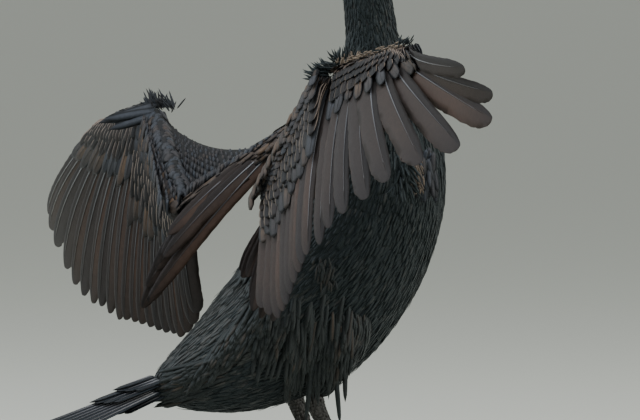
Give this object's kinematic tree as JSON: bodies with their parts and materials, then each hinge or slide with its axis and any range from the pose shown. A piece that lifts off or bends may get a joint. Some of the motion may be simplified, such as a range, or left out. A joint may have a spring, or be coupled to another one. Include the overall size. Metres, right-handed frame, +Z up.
{
  "type": "cormorant",
  "caption": "Life-size standing cormorant holding both wings half open to dry, tail low behind, head level, on flat webbed feet.",
  "frame": {"origin": "bottom centre of the bounding box, on the floor under the bird", "axes": "+Z up, +X the way the bird faces, +Y to its left, along the spread of the wings"},
  "size_m": [0.4886, 1.1456, 0.5672],
  "materials": {
    "plumage": "close black body feathers with a green and blue silk gloss",
    "wing_feather": "grey-brown flight feathers and bronze scaled coverts with dark edges",
    "tail_feather": "stiff blue-black tail feathers",
    "throat_skin": "bare ochre yellow throat skin",
    "bill_horn": "grey horn with a dark ridge",
    "eye": "wet green iris with a black pupil",
    "leg_skin": "dark scaly skin",
    "claw": "black horn"
  },
  "bodies": {
    "root": {"claw_left_1": "claw", "claw_left_2": "claw", "claw_left_3": "claw", "claw_left_4": "claw", "claw_right_1": "claw", "claw_right_2": "claw", "claw_right_3": "claw", "claw_right_4": "claw", "eye_left": "eye", "eye_right": "eye", "foot_left": "leg_skin", "foot_right": "leg_skin", "head": "plumage", "lower_bill": "bill_horn", "neck_lower": "plumage", "neck_upper": "plumage", "shank_left": "leg_skin", "shank_right": "leg_skin", "tail": "tail_feather", "thigh_left": "plumage", "thigh_right": "plumage", "throat_pouch": "throat_skin", "torso": "plumage", "upper_bill": "bill_horn", "wing_left_forearm": "wing_feather", "wing_left_hand": "wing_feather", "wing_left_upper_arm": "wing_feather", "wing_right_forearm": "wing_feather", "wing_right_hand": "wing_feather", "wing_right_upper_arm": "wing_feather"}
  },
  "joints": []
}
